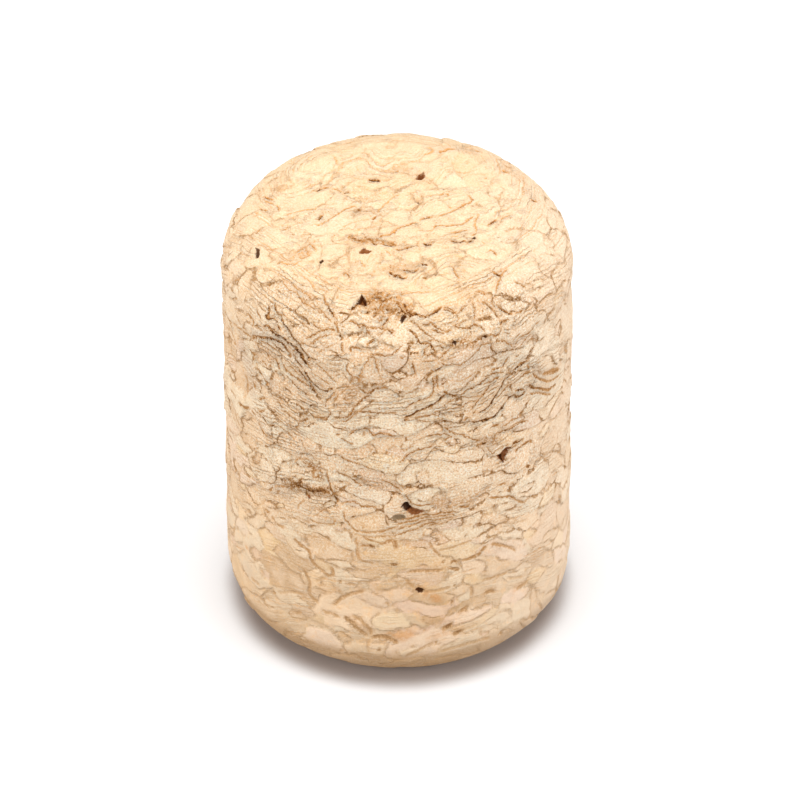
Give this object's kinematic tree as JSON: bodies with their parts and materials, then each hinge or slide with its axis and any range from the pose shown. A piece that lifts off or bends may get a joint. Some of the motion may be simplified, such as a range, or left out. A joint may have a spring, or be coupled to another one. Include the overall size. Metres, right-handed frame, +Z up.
{
  "type": "cork stopper",
  "caption": "Straight agglomerated cork stopper with rounded ends, to be pressed into the neck of a small bottle or jar.",
  "frame": {"origin": "centre of the foot, on the plane that the stopper stands on", "axes": "+Z up along the stopper's axis, from the foot to the top; -Y faces the viewer, +X to the viewer's right"},
  "size_m": [0.024, 0.024, 0.032],
  "materials": {
    "cork": "dry sanded agglomerated cork: pale granules, thin brown seams and small dark voids"
  },
  "bodies": {
    "root": {"stopper": "cork"}
  },
  "joints": []
}
